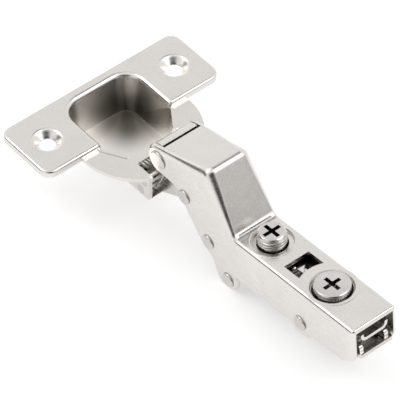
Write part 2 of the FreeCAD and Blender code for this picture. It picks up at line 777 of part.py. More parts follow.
def make_rivet(name, place, shaft, head):
    """A cross rivet of the arm with a low head on each side."""
    frame = ARM.multiply(FreeCAD.Placement(V(0, place[0], place[1]), FreeCAD.Rotation()))
    rivet = body(name, frame)
    inner = p.arm_width / 2
    outer = inner + p.rivet_head_thick
    edge = p.rivet_head_thick / 2
    revolution(rivet, "XY_Plane",
               outline([(-outer, 0), (-outer, head - edge), (-outer + edge, head), (-inner, head),
                        (-inner, shaft), (inner, shaft), (inner, head), (outer - edge, head),
                        (outer, head - edge), (outer, 0)]))


def make_adjust_plate():
    """The plate inside the arm: ears for the tilt pin, a slot for the side screw, a cam hole."""
    plate = body("adjust_plate", ARM)
    top = -p.plate_top
    low = -p.plate_side_depth
    ear = p.ear_radius
    ear_low = p.tilt_pin_v - ear
    flare = ear + p.ear_flare
    pad(plate, "YZ_Plane",
        outline([(p.plate_rear, top), (p.plate_front, top), (p.plate_front, low, p.plate_corner),
                 (p.tilt_pin_u + flare, low, p.ear_valley), (p.tilt_pin_u + ear, ear_low, p.ear_round),
                 (p.tilt_pin_u - ear, ear_low, p.ear_round), (p.tilt_pin_u - flare, low, p.ear_valley),
                 (p.plate_rear, low, p.plate_corner)]),
        "sizes.plate_width")
    under = top - p.plate_sheet
    below = ear_low - p.over
    pocket(plate, "YZ_Plane",
           outline([(p.plate_rear - p.over, under), (p.plate_front + p.over, under),
                    (p.plate_front + p.over, below), (p.plate_rear - p.over, below)]),
           "sizes.plate_width - 2 * sizes.plate_side")
    neck = p.side_screw_neck + p.running_clearance
    beyond = p.plate_front + neck
    play = p.slide_travel + p.post_radius + p.layer_gap
    openings = slot((0, p.side_screw_u), (0, beyond), neck)
    openings.append(circle(0, p.cam_u, p.cam_neck + p.running_clearance))
    wide = p.plate_width / 2 - p.plate_window_margin
    rounded = p.plate_window_round
    openings += outline([(-wide, p.post_u - play, rounded), (wide, p.post_u - play, rounded),
                         (wide, p.post_u + play, rounded), (-wide, p.post_u + play, rounded)])
    pocket(plate, "XY_Plane", openings, "sizes.plate_top + sizes.plate_sheet", side="One side")
    pocket(plate, "YZ_Plane",
           [circle(p.tilt_pin_u, p.tilt_pin_v, p.rivet_radius + p.running_clearance)])


def cross(length, width):
    """Outline of a cross recess."""
    long = length / 2
    thin = width / 2
    return outline([(-long, -thin), (-thin, -thin), (-thin, -long), (thin, -long), (thin, -thin),
                    (long, -thin), (long, thin), (thin, thin), (thin, long), (-thin, long),
                    (-thin, thin), (-long, thin)])


def make_depth_cam():
    """The depth cam: a wide head on the plate and an eccentric pin that reaches the base."""
    frame = ARM.multiply(FreeCAD.Placement(V(0, p.cam_u, 0), FreeCAD.Rotation()))
    cam = body("depth_cam", frame)
    seat = -p.plate_top + p.running_clearance
    end = -p.plate_top - p.plate_sheet - p.running_clearance
    head = p.cam_radius
    bevel = p.cam_bevel
    collar = p.cam_neck + p.cam_collar
    revolution(cam, "XZ_Plane",
               outline([(0, p.cam_top), (head - bevel, p.cam_top), (head, p.cam_top - bevel),
                        (head, p.cam_top - p.cam_head), (collar, p.cam_top - p.cam_head),
                        (collar, seat), (p.cam_neck, seat), (p.cam_neck, end), (0, end)]),
               "V_Axis")
    pad(cam, "XY_Plane", [circle(p.cam_throw, 0, p.cam_pin_radius)],
        "sizes.base_sheet + sizes.layer_gap - sizes.running_clearance",
        side="One side", reverse=True, shift=end)
    pocket(cam, "XY_Plane", cross(p.cross_length, p.cross_width), "sizes.cross_depth",
           side="One side", shift=p.cam_top)


def make_side_screw():
    """The side screw: a wide threaded body, a neck in the plate's slot and a button under it."""
    frame = ARM.multiply(FreeCAD.Placement(V(0, p.side_screw_u, 0), FreeCAD.Rotation()))
    screw = body("side_screw", frame)
    seat = -p.plate_top + p.running_clearance
    under = -p.plate_top - p.plate_sheet - p.running_clearance
    end = under - p.button_thick
    bevel = p.side_screw_bevel
    wide = p.side_screw_radius
    revolution(screw, "XZ_Plane",
               outline([(0, p.side_screw_top), (wide - bevel, p.side_screw_top),
                        (wide, p.side_screw_top - bevel), (wide, seat + bevel),
                        (wide - bevel, seat), (p.side_screw_neck, seat),
                        (p.side_screw_neck, under), (p.side_screw_button, under),
                        (p.side_screw_button, end), (0, end)]),
               "V_Axis")
    pocket(screw, "XY_Plane", cross(p.cross_length, p.cross_width), "sizes.cross_depth",
           side="One side", shift=p.side_screw_top)


def make_clip_base():
    """The channel that sits on the mounting plate, with slots that guide the adjustments."""
    base = body("clip_base", ARM)
    top = -p.plate_top - p.plate_sheet - p.layer_gap
    low = -p.base_depth
    corner = p.base_round
    pad(base, "YZ_Plane",
        outline([(p.base_front, top), (p.base_front, low + p.base_front_rise),
                 (p.base_front - p.base_front_slant, low), (p.base_tail, low, corner),
                 (p.base_rear, -p.base_rear_depth), (p.base_rear, -p.base_step, corner),
                 (p.base_web_end, -p.base_step, corner), (p.base_web_end, top)]),
        "sizes.base_width")
    under = top - p.base_sheet
    beyond = p.base_rear - p.over
    ahead = p.base_front + p.over
    pocket(base, "YZ_Plane",
           outline([(ahead, under), (beyond, under), (beyond, low - p.over), (ahead, low - p.over)]),
           "sizes.base_width - 2 * sizes.base_side")
    wide = p.arm_width / 2 - p.arm_sheet - p.sill_gap
    narrow = wide - p.sill_chamfer_width
    slant = p.sill_end + p.sill_chamfer
    pane = p.sill_window_width / 2
    sill = outline([(-wide, p.sill_start), (wide, p.sill_start), (wide, slant), (narrow, p.sill_end),
                    (-narrow, p.sill_end), (-wide, slant)])
    sill += outline([(-pane, p.sill_start - p.sill_rim), (pane, p.sill_start - p.sill_rim),
                     (pane, p.sill_end + p.sill_rim), (-pane, p.sill_end + p.sill_rim)])
    pad(base, "XY_Plane", sill, "sizes.sill_sheet", side="One side", reverse=True,
        shift=-p.sill_top)

    travel = p.slide_travel
    guide = slot((p.tilt_pin_u - travel, p.tilt_pin_v), (p.tilt_pin_u + travel, p.tilt_pin_v),
                 p.rivet_radius + p.guide_clearance)
    pocket(base, "YZ_Plane", guide + [circle(p.lever_pin_u, p.lever_pin_v, p.lever_pin_radius)])
    swing = p.cam_throw * math.cos(math.radians(p.cam_swing_angle))
    openings = slot((0, p.side_screw_u - travel), (0, p.side_screw_u + travel),
                    p.side_screw_button + p.slot_play)
    openings += slot((swing, p.cam_u), (p.cam_throw, p.cam_u), p.cam_pin_radius + p.slot_play)
    pocket(base, "XY_Plane", openings, "sizes.base_sheet", side="One side", shift=top)
    pad(base, "XY_Plane", [circle(0, p.post_u, p.post_radius)],
        "sizes.plate_top + sizes.plate_sheet + sizes.layer_gap - sizes.post_top",
        side="One side", shift=top)


def make_clip_lever():
    """The release lever: a floor with a leg on each side of its pin and a channel as handle."""
    lever = body("clip_lever", ARM)
    floor = -p.lever_floor
    above = floor + p.lever_sheet
    eye = p.lever_eye_radius
    eye_low = p.lever_pin_v - eye
    front_eye = p.lever_pin_u + eye
    rear_eye = p.lever_pin_u - eye
    pad(lever, "YZ_Plane",
        outline([(p.lever_shoulder, above), (p.lever_front, above, p.lever_corner),
                 (front_eye, p.lever_pin_v + p.lever_eye_flare, p.lever_leg_round),
                 (front_eye, eye_low, p.lever_eye_round), (rear_eye, eye_low, p.lever_eye_round),
                 (rear_eye, floor, p.end_round), (p.lever_shoulder, floor)]),
        "sizes.lever_width")
    far = front_eye + eye
    pocket(lever, "YZ_Plane",
           outline([(p.lever_shoulder - p.over, floor), (far, floor), (far, eye_low - p.over),
                    (p.lever_shoulder - p.over, eye_low - p.over)]),
           "sizes.lever_width - 2 * sizes.lever_sheet")
    half = p.lever_width / 2 - p.handle_inset
    inner = half - p.handle_sheet
    top = -p.handle_top
    inside = floor + p.handle_sheet
    inner_round = p.handle_round - p.handle_sheet
    pad(lever, "XZ_Plane",
        outline([(-half, top), (-half, floor, p.handle_round), (half, floor, p.handle_round),
                 (half, top), (inner, top), (inner, inside, inner_round),
                 (-inner, inside, inner_round), (-inner, top)]),
        "-sizes.handle_rear + sizes.lever_shoulder + sizes.lever_sheet", side="One side",
        shift=-p.lever_shoulder - p.lever_sheet)
    pocket(lever, "YZ_Plane",
           [circle(p.lever_pin_u, p.lever_pin_v, p.lever_pin_radius + p.running_clearance)])


make_cup()
make_cup_pins()
torsion_spring("closing_spring", CUP, (p.spring_pin_y, p.spring_pin_z), p.spring_pin_radius,
               p.spring_wire, p.spring_pitch, p.spring_turns,
               (p.spring_link_angle, p.spring_link_leg),
               (p.spring_floor_angle, p.spring_floor_leg))
make_outer_link()
make_inner_link()
make_arm()
make_rivet("front_link_rivet", (p.front_rivet_u, p.front_rivet_v), p.front_rivet_radius,
           p.front_head_radius)
for rivet_name, place in zip(("rear_link_rivet", "spacer_rivet", "lower_rivet", "tilt_pin"),
                             rivet_places):
    make_rivet(rivet_name, place, p.rivet_radius, p.rivet_head_radius)
make_adjust_plate()
make_depth_cam()
make_side_screw()
make_clip_base()
make_clip_lever()
lever_pin_place = (p.lever_pin_u, p.lever_pin_v)
make_pin("lever_pin", ARM, lever_pin_place, "lever_pin_radius",
         p.lever_width / 2 + p.lever_pin_stub)
torsion_spring("lever_spring", ARM, lever_pin_place, p.lever_pin_radius, p.lever_spring_wire,
               p.lever_spring_pitch, p.lever_spring_turns,
               (p.lever_spring_front_angle, p.lever_spring_front_leg),
               (p.lever_spring_rear_angle, p.lever_spring_rear_leg))

doc.recompute()
for item in doc.Objects:
    if "Invalid" in item.State or "Error" in item.State:
        raise ValueError("%s is %s" % (item.Label, item.State))
for node in nodes:
    if node.Shape.isNull() or not node.Shape.isValid() or not node.Shape.Solids:
        raise ValueError("%s has no sound shape" % node.Label)
for node in nodes:
    node.Shape.exportStep("parts/%s.step" % node.Label)
    print("%-22s %d solid, %8.1f mm3" % (node.Label, len(node.Shape.Solids), node.Shape.Volume))
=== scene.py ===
# %% [markdown]
# # A concealed cabinet hinge in nickel-plated steel
#
# This lesson dresses a hinge that was designed in CAD. The hinge is almost all pressed
# sheet: a cup that sinks into the door, two links, and a long cranked arm that clips to
# a plate on the cabinet's side. The CAD model gives each piece its place and its joint,
# and Blender adds what makes it look real: edges rounded by the press and the tumbling
# drum, a thread, painted shade in the cross recesses, a plated finish, and the light of a
# small studio.
#
# We start by loading the imported model. Blender's unit here is the metre, so a length
# that is written in millimetres is multiplied by MM. Every node's place is in its own
# mesh, so nothing has to be moved to fit.

# %% Load the frame
import json
import math

import bpy
from mathutils import Matrix, Vector


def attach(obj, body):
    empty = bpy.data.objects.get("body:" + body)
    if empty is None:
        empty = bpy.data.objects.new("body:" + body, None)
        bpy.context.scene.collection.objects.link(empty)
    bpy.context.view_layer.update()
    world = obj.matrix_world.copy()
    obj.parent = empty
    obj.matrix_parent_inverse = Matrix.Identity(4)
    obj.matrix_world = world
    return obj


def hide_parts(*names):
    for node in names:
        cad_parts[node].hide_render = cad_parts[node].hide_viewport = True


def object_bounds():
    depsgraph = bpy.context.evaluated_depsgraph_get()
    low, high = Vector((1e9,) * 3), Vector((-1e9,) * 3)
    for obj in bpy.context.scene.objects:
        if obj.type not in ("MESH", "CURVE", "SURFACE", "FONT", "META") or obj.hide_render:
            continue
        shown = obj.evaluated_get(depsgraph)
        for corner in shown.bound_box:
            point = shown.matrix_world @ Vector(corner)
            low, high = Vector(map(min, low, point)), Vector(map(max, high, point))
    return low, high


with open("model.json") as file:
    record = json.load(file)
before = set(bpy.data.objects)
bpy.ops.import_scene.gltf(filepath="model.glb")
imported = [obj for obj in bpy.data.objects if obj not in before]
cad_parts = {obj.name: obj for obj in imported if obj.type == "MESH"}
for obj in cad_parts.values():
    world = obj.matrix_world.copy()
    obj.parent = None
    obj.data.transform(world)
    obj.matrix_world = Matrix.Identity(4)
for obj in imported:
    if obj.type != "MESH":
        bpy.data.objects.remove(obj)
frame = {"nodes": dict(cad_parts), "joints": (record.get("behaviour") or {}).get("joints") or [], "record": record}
cad_low, cad_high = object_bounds()
nodes = frame["nodes"]
joints = {joint["name"]: joint for joint in frame["joints"]}
body_of = {node: body for body, members in frame["record"]["behaviour"]["bodies"].items()
           for node in members}
MM = 0.001
print("nodes:", len(nodes), " box in mm:", [round(side / MM, 1) for side in cad_high - cad_low])

# %% [markdown]
# ## The camera
#
# The hinge was photographed from its arm's side, high up and from far away with a long
# lens, so its parallel edges stay almost parallel. The camera could be aimed by a
# constraint, but a matrix is plainer here: its columns are the directions that point
# right, up and back in the picture, and its last column is where the camera stands. It
# stands a little to one side, so that the hinge lies in the frame where it should.

# %% Place the camera
AZIMUTH = math.radians(-39.801)
ELEVATION = math.radians(46.962)
DISTANCE = 0.936249
SHIFT_RIGHT = -0.01585
SHIFT_UP = 0.0190
FOCAL_PIXELS = 3651.7
IMAGE_PIXELS = 400
SENSOR = 36.0

right = Vector((math.cos(AZIMUTH), math.sin(AZIMUTH), 0))
back = Vector((math.sin(AZIMUTH) * math.cos(ELEVATION),
               -math.cos(AZIMUTH) * math.cos(ELEVATION), math.sin(ELEVATION)))
up = back.cross(right)
stand = back * DISTANCE - right * SHIFT_RIGHT - up * SHIFT_UP
bpy.ops.object.camera_add()
camera = bpy.context.active_object
camera.name = "camera"
camera.matrix_world = Matrix(((right.x, up.x, back.x, stand.x),
                              (right.y, up.y, back.y, stand.y),
                              (right.z, up.z, back.z, stand.z),
                              (0, 0, 0, 1)))
camera.data.sensor_width = SENSOR
camera.data.lens = FOCAL_PIXELS / IMAGE_PIXELS * SENSOR
bpy.context.scene.camera = camera
bpy.context.scene.view_settings.view_transform = "Standard"
print("lens in mm:", round(camera.data.lens, 1))

# %% [markdown]
# ## The floor
#
# Product pictures stand on a sheet of white paper. A plane is enough for it. The
# paper's own colour is nearly white, and a little glow that only the camera and
# reflections see lifts it to the white of a printed page, so the hinge gets no more
# light than before and its soft shadow stays on the paper.

# %% Helpers that build a material
def shader(name):
    """A new material with an empty node tree."""
    made = bpy.data.materials.new(name)
    made.use_nodes = True
    made.node_tree.nodes.clear()
    return made, made.node_tree


def node(tree, kind, **settings):
    """A new node of a kind, with its settings. Its inputs are filled in later."""
    made = tree.nodes.new("ShaderNode" + kind)
    for key, value in settings.items():
        setattr(made, key, value)
    return made


def feed(tree, source, target):
    """Link one socket to another."""
    tree.links.new(source, target)


def seen_directly(tree):
    """1 for rays from the camera and for mirrored or refracted ones, else 0."""
    path = node(tree, "LightPath")
    first = node(tree, "Math", operation="MAXIMUM")
    second = node(tree, "Math", operation="MAXIMUM")
    feed(tree, path.outputs["Is Camera Ray"], first.inputs[0])
    feed(tree, path.outputs["Is Glossy Ray"], first.inputs[1])
    feed(tree, first.outputs[0], second.inputs[0])
    feed(tree, path.outputs["Is Transmission Ray"], second.inputs[1])
    return second.outputs[0]


# %% Lay the paper
FLOOR_GAP = 0.0002
FLOOR_SIZE = 6.0
PAPER_WHITE = (0.88, 0.88, 0.88, 1)
PAPER_GLOW = 0.42

bpy.ops.object.select_all(action="DESELECT")
bpy.ops.mesh.primitive_plane_add(size=FLOOR_SIZE, location=(0, 0, cad_low.z - FLOOR_GAP))
floor = bpy.context.active_object
floor.name = "floor"

paper, tree = shader("paper")
matt = node(tree, "BsdfDiffuse")
matt.inputs["Color"].default_value = PAPER_WHITE
glow = node(tree, "Emission")
glow.inputs["Strength"].default_value = PAPER_GLOW
dark = node(tree, "Emission")
dark.inputs["Strength"].default_value = 0.0
choice = node(tree, "MixShader")
both = node(tree, "AddShader")
output = node(tree, "OutputMaterial")
feed(tree, seen_directly(tree), choice.inputs[0])
feed(tree, dark.outputs[0], choice.inputs[1])
feed(tree, glow.outputs[0], choice.inputs[2])
feed(tree, matt.outputs[0], both.inputs[0])
feed(tree, choice.outputs[0], both.inputs[1])
feed(tree, both.outputs[0], output.inputs["Surface"])
floor.data.materials.append(paper)
print("floor at z in mm:", round(floor.location.z / MM, 2))

# %% [markdown]
# ## The light
#
# Bright metal has hardly a colour of its own: it shows what stands round it. A white
# room alone would make it flat, so a studio hangs large soft lamps over it and puts
# black flags between them. The rounded edges squeeze a flag into the thin dark line
# that tells us the piece is metal. Here the sky is white, and brighter for mirrored
# rays than for the ones that light the hinge. One wide lamp hangs at the back on the
# left and draws the white line along the arm's edge, and one hangs at the front on the
# right and draws the white line across the crest.

# %% Hang the lamps
def soft_lamp(name, place, size, power):
    """A square area lamp that looks at the hinge."""
    bpy.ops.object.light_add(type="AREA", location=place)
    lamp = bpy.context.active_object
    lamp.name = name
    lamp.data.size = size
    lamp.data.energy = power
    lamp.rotation_mode = "QUATERNION"
    lamp.rotation_quaternion = (-Vector(place)).to_track_quat("-Z", "Y")


soft_lamp("lamp_back_left", place=(-0.55, 0.62, 0.95), size=0.75, power=3.4)
soft_lamp("lamp_front_right", place=(0.5, -0.62, 0.95), size=0.72, power=3.3)

# %% Paint the sky white
SKY_LIGHT = 0.55
SKY_MIRRORED = 1.0

sky = bpy.data.worlds.new("studio")
bpy.context.scene.world = sky
sky.use_nodes = True
tree = sky.node_tree
tree.nodes.clear()
lit = node(tree, "Background")
lit.inputs["Color"].default_value = (1, 1, 1, 1)
lit.inputs["Strength"].default_value = SKY_LIGHT
shown = node(tree, "Background")
shown.inputs["Color"].default_value = (1, 1, 1, 1)
shown.inputs["Strength"].default_value = SKY_MIRRORED
choice = node(tree, "MixShader")
output = node(tree, "OutputWorld")
feed(tree, seen_directly(tree), choice.inputs[0])
feed(tree, lit.outputs[0], choice.inputs[1])
feed(tree, shown.outputs[0], choice.inputs[2])
feed(tree, choice.outputs[0], output.inputs["Surface"])
print("sky:", SKY_LIGHT, "as light,", SKY_MIRRORED, "as seen")

# %% [markdown]
# ## The black flags
#
# A flag is a card of black cloth on a stand. Four of them stand round the hinge: one
# under the photographer's line of sight, one overhead towards the right, one at the
# front, level with the hinge and close by, which darkens the crank's slope, and one low
# at the back on the left. A card could be modelled with a worn edge, but its edge would
# show as a hard line in the metal, so each flag fades out towards its rim. Only mirrored
# rays see it.

# %% Stand the black flags
FLAG_CLOTH = (0.02, 0.019, 0.018, 1)
FULL_FROM_RIM = 0.5


def black_flag(name, towards, distance, width, height, density):
    """A fading black card that faces the hinge from a direction."""
    direction = Vector(towards).normalized()
    bpy.ops.object.select_all(action="DESELECT")
    bpy.ops.mesh.primitive_plane_add(size=2, location=direction * distance)
    flag = bpy.context.active_object
    flag.name = name
    flag.rotation_mode = "QUATERNION"
    flag.rotation_quaternion = (-direction).to_track_quat("Z", "Y")
    flag.scale = (width / 2, height / 2, 1)
    flag.visible_camera = False
    flag.visible_diffuse = False
    flag.visible_shadow = False
    flag.visible_transmission = False

    cloth, tree = shader(name)
    place = node(tree, "TexCoord")
    ball = node(tree, "TexGradient", gradient_type="SPHERICAL")
    fade = node(tree, "MapRange", interpolation_type="SMOOTHSTEP")
    fade.inputs["From Max"].default_value = FULL_FROM_RIM
    fade.inputs["To Max"].default_value = density
    clear = node(tree, "BsdfTransparent")
    black = node(tree, "Emission")
    black.inputs["Color"].default_value = FLAG_CLOTH
    both = node(tree, "MixShader")
    output = node(tree, "OutputMaterial")
    feed(tree, place.outputs["Object"], ball.inputs["Vector"])
    feed(tree, ball.outputs["Fac"], fade.inputs["Value"])
    feed(tree, fade.outputs["Result"], both.inputs[0])
    feed(tree, clear.outputs[0], both.inputs[1])
    feed(tree, black.outputs[0], both.inputs[2])
    feed(tree, both.outputs[0], output.inputs["Surface"])
    flag.data.materials.append(cloth)


black_flag("flag_photographer", towards=(-0.45, -0.75, 0.45), distance=1.1, width=1.7,
           height=1.5, density=1.0)
black_flag("flag_overhead", towards=(0.42, 0.12, 0.9), distance=1.2, width=1.3,
           height=0.42, density=0.9)
black_flag("flag_front", towards=(0.34, -0.94, -0.02), distance=0.6, width=1.5,
           height=0.48, density=0.6)
black_flag("flag_low", towards=(-0.75, 0.55, 0.22), distance=1.0, width=1.5,
           height=0.6, density=1.0)

# %% [markdown]
# ## The finishes
#
# All the sheet pieces are dull-bright nickel over rolled steel: faint streaks run the
# way the strip was rolled, the plating is cloudy at the scale of a few millimetres, and
# tumbling leaves a fine orange-peel. Pins and screws are turned or headed wire and a
# little darker. Each finish could have a node tree of its own, but they differ only in
# numbers, so one function builds them all from the same nodes: noise on Object
# coordinates for clouds, a stretched noise for the streaks, and a fine one for bump.

# %% Noise and its range
NOISE_LOW = 0.3
NOISE_HIGH = 0.7


def noise(tree, place, scale, detail):
    """Noise at a place, from 0 to 1."""
    made = node(tree, "TexNoise")
    made.inputs["Scale"].default_value = scale
    made.inputs["Detail"].default_value = detail
    feed(tree, place, made.inputs["Vector"])
    return made.outputs["Fac"]


def ranged(tree, value, low, high):
    """Spread the values that a noise mostly takes over a range."""
    made = node(tree, "MapRange")
    made.inputs["From Min"].default_value = NOISE_LOW
    made.inputs["From Max"].default_value = NOISE_HIGH
    made.inputs["To Min"].default_value = low
    made.inputs["To Max"].default_value = high
    feed(tree, value, made.inputs["Value"])
    return made.outputs["Result"]


# %% A plated metal
CLOUDS = 160
STREAKS = 700
PEEL_HEIGHT = 0.02 * MM


def metal(name, colour, deep, rough, smooth, stretch, grain, relief):
    """A plated metal.

    colour and deep are mixed in clouds, smooth and rough bound the roughness, stretch
    draws noise out into streaks, grain is the fineness of the bump and relief its strength."""
    made, tree = shader(name)
    where = node(tree, "TexCoord").outputs["Object"]

    tint = node(tree, "Mix", data_type="RGBA")
    tint.inputs["A"].default_value = (*deep, 1)
    tint.inputs["B"].default_value = (*colour, 1)
    feed(tree, ranged(tree, noise(tree, where, CLOUDS, 4), 0, 1), tint.inputs["Factor"])

    turn = node(tree, "Mapping")
    turn.inputs["Scale"].default_value = stretch
    feed(tree, where, turn.inputs["Vector"])
    streaks = noise(tree, turn.outputs["Vector"], STREAKS, 5)

    height = node(tree, "Math", operation="ADD")
    feed(tree, noise(tree, where, grain, 3), height.inputs[0])
    feed(tree, streaks, height.inputs[1])
    bump = node(tree, "Bump")
    bump.inputs["Strength"].default_value = relief
    bump.inputs["Distance"].default_value = PEEL_HEIGHT
    feed(tree, height.outputs[0], bump.inputs["Height"])

    surface = node(tree, "BsdfPrincipled")
    surface.inputs["Metallic"].default_value = 1.0
    output = node(tree, "OutputMaterial")
    feed(tree, tint.outputs["Result"], surface.inputs["Base Color"])
    feed(tree, ranged(tree, streaks, smooth, rough), surface.inputs["Roughness"])
    feed(tree, bump.outputs["Normal"], surface.inputs["Normal"])
    feed(tree, surface.outputs[0], output.inputs["Surface"])
    return made


# %% The hinge's own finishes
ALONG = (1, 0.08, 1)
EVEN = (1, 1, 1)

nickel_plate = metal("nickel_plate", colour=(0.74, 0.71, 0.68), deep=(0.705, 0.675, 0.645),
                     rough=0.29, smooth=0.24, stretch=ALONG, grain=2600, relief=0.22)
link_steel = metal("link_steel", colour=(0.68, 0.65, 0.62), deep=(0.58, 0.56, 0.53),
                   rough=0.3, smooth=0.2, stretch=ALONG, grain=2600, relief=0.5)
pin_steel = metal("pin_steel", colour=(0.66, 0.64, 0.62), deep=(0.55, 0.53, 0.51),
                  rough=0.28, smooth=0.18, stretch=EVEN, grain=3000, relief=0.6)
screw_steel = metal("screw_steel", colour=(0.7, 0.68, 0.66), deep=(0.58, 0.56, 0.54),
                    rough=0.3, smooth=0.18, stretch=EVEN, grain=3400, relief=0.7)
spring_steel = metal("spring_steel", colour=(0.46, 0.44, 0.43), deep=(0.34, 0.33, 0.32),
                     rough=0.35, smooth=0.22, stretch=EVEN, grain=3000, relief=0.5)
# The plates are made near black as painted shade, because they lie in shadow inside the arm.
plate_in_painted_shade = metal("plate_in_painted_shade", colour=(0.14, 0.135, 0.13), deep=(0.09, 0.085, 0.08),
                    rough=0.42, smooth=0.3, stretch=ALONG, grain=2600, relief=0.5)
# This black finish is painted shade, for the cross recesses and the slit at the nose.
painted_recess_shade = metal("painted_recess_shade", colour=(0.06, 0.055, 0.05), deep=(0.03, 0.028, 0.026),
                   rough=0.6, smooth=0.45, stretch=EVEN, grain=3000, relief=0.5)
# The drawn finish is rougher, and shade is painted into its far corner further down.
drawn_nickel_with_painted_shade = metal("drawn_nickel_with_painted_shade", colour=(0.8, 0.77, 0.74), deep=(0.74, 0.71, 0.68),
                     rough=0.36, smooth=0.28, stretch=ALONG, grain=2600, relief=0.3)
print("finishes:", sorted(item.name for item in bpy.data.materials))

# %% [markdown]
# ## The painted shade in the cup's corner
#
# The inside of the cup has a finish of its own, because deep drawing leaves the metal
# rougher there. Its far corner is much darker than the rest: two walls and the floor
# mirror one another and little light comes out. Flags alone leave that corner too
# light, so shade is painted into the finish's colour there. It fades out with the
# distance from one place in the cup.

# %% The painted shade
PAINTED_SHADE_COLOUR = (0.19, 0.176, 0.157)
PAINTED_SHADE_CENTRE = (5.8 * MM, 11.6 * MM, -10 * MM)
PAINTED_SHADE_FULL = 3 * MM
PAINTED_SHADE_GONE = 12.5 * MM


def paint_shade_towards_a_corner(made, shade, corner, near, far):
    """Paint a dark shade into a finish's colour, fading out between two distances from a corner."""
    tree = made.node_tree
    surface = next(item for item in tree.nodes if item.type == "BSDF_PRINCIPLED")
    bright = surface.inputs["Base Color"].links[0].from_socket
    where = node(tree, "TexCoord")
    reach = node(tree, "VectorMath", operation="DISTANCE")
    reach.inputs[1].default_value = corner
    feed(tree, where.outputs["Object"], reach.inputs[0])
    amount = node(tree, "MapRange", interpolation_type="SMOOTHSTEP")
    amount.inputs["From Min"].default_value = far
    amount.inputs["From Max"].default_value = near
    feed(tree, reach.outputs["Value"], amount.inputs["Value"])
    tint = node(tree, "Mix", data_type="RGBA")
    tint.inputs["B"].default_value = (*shade, 1)
    feed(tree, amount.outputs["Result"], tint.inputs["Factor"])
    feed(tree, bright, tint.inputs["A"])
    feed(tree, tint.outputs["Result"], surface.inputs["Base Color"])


# Painted shade: the pocket's colour is darkest near one place in its far corner.
paint_shade_towards_a_corner(drawn_nickel_with_painted_shade, PAINTED_SHADE_COLOUR, PAINTED_SHADE_CENTRE, PAINTED_SHADE_FULL, PAINTED_SHADE_GONE)
print("film in mm:", round(PAINTED_SHADE_FULL / MM, 1), "to", round(PAINTED_SHADE_GONE / MM, 1))

# %% [markdown]
# ## Rounded edges on the pressed pieces
#
# The CAD solids are cut off square, but a real pressing has no razor edges. A Bevel
# modifier straight on a CAD node would find no edges to round, because its triangles
# don't share corners. So each piece is a merged copy: the doubles are joined, flat
# neighbours are dissolved, every edge sharper than forty degrees gets a small bevel, and
# the copy stands in for its node. Smooth shading alone would bend the light on the wide
# flats near a bevel, so the corner normals are weighed by the size of their faces.

# %% Helpers for one piece at a time
def pick(piece):
    """Select one object alone and make it the active one."""
    bpy.ops.object.select_all(action="DESELECT")
    piece.select_set(True)
    bpy.context.view_layer.objects.active = piece


def apply_all(piece):
    """Apply the modifiers of a piece in their order."""
    pick(piece)
    for modifier in [item.name for item in piece.modifiers]:
        bpy.ops.object.modifier_apply(modifier=modifier)


def smooth(piece, degrees=35):
    """Smooth the shading across every edge blunter than an angle."""
    pick(piece)
    bpy.ops.object.shade_smooth_by_angle(angle=math.radians(degrees))


# %% Merge, bevel and smooth a copy
SAME_CORNER = 0.0005 * MM
SAME_FLAT = math.radians(0.4)
SHARP_EDGE = math.radians(40)
BY_SIZE_ALONE = 100


def merged_copy(name, suffix):
    """A copy of a CAD node whose triangles share their corners."""
    piece = bpy.data.objects.new(name + suffix, nodes[name].data.copy())
    piece.data.name = name + suffix
    bpy.context.scene.collection.objects.link(piece)
    pick(piece)
    bpy.ops.object.mode_set(mode="EDIT")
    bpy.ops.mesh.select_all(action="SELECT")
    bpy.ops.mesh.remove_doubles(threshold=SAME_CORNER)
    bpy.ops.mesh.dissolve_limited(angle_limit=SAME_FLAT)
    bpy.ops.object.mode_set(mode="OBJECT")
    return piece


def soften(piece, width):
    """Round the sharp edges of a piece to a width in millimetres."""
    if width:
        bevel = piece.modifiers.new("edges", "BEVEL")
        bevel.width = width * MM
        bevel.segments = 2
        bevel.limit_method = "ANGLE"
        bevel.angle_limit = SHARP_EDGE
        bevel.use_clamp_overlap = True
        apply_all(piece)
    smooth(piece)
    flats = piece.modifiers.new("flats", "WEIGHTED_NORMAL")
    flats.weight = BY_SIZE_ALONE
    flats.keep_sharp = True
    apply_all(piece)


def finish_piece(piece, name, material):
    """Give a piece its material and body, and let it stand for its node."""
    piece.data.materials.clear()
    piece.data.materials.append(material)
    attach(piece, body_of[name])
    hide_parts(name)


def rounded(name, width, material):
    """A CAD node with its sharp edges rounded to a width in millimetres."""
    piece = merged_copy(name, "_pressed")
    soften(piece, width)
    finish_piece(piece, name, material)
    print(piece.name, len(piece.data.polygons), "faces")
    return piece


# %% [markdown]
# ## The cup
#
# The cup is deep-drawn: a punch pushes the sheet into a die, so the wall runs into the
# floor in a round corner, and the screw holes are dimpled by a round punch rather than
# drilled. The CAD model leaves these corners sharp. They could go into the one bevel of
# all the edges, but they are far rounder than a sheared edge, so they are picked by
# their place and bevelled first, wide and in several steps.

# %% Pick the cup's drawn corners
FLOOR_DEPTH = 11.3 * MM
CHANNEL_Y = -4 * MM
SCREW_X = 21.0 * MM
SCREW_Y = 11.0 * MM
COUNTERSINK = 4.0 * MM
NEAR = 0.02 * MM


def pick_edges(piece, wanted):
    """In edit mode, select the edges whose two ends pass a test together."""
    pick(piece)
    bpy.ops.object.mode_set(mode="EDIT")
    bpy.ops.mesh.select_all(action="DESELECT")
    bpy.ops.mesh.select_mode(type="EDGE")
    bpy.ops.object.mode_set(mode="OBJECT")
    corners = piece.data.vertices
    count = 0
    for edge in piece.data.edges:
        first, second = (corners[index].co for index in edge.vertices)
        edge.select = wanted(first, second)
        count += edge.select
    bpy.ops.object.mode_set(mode="EDIT")
    return count


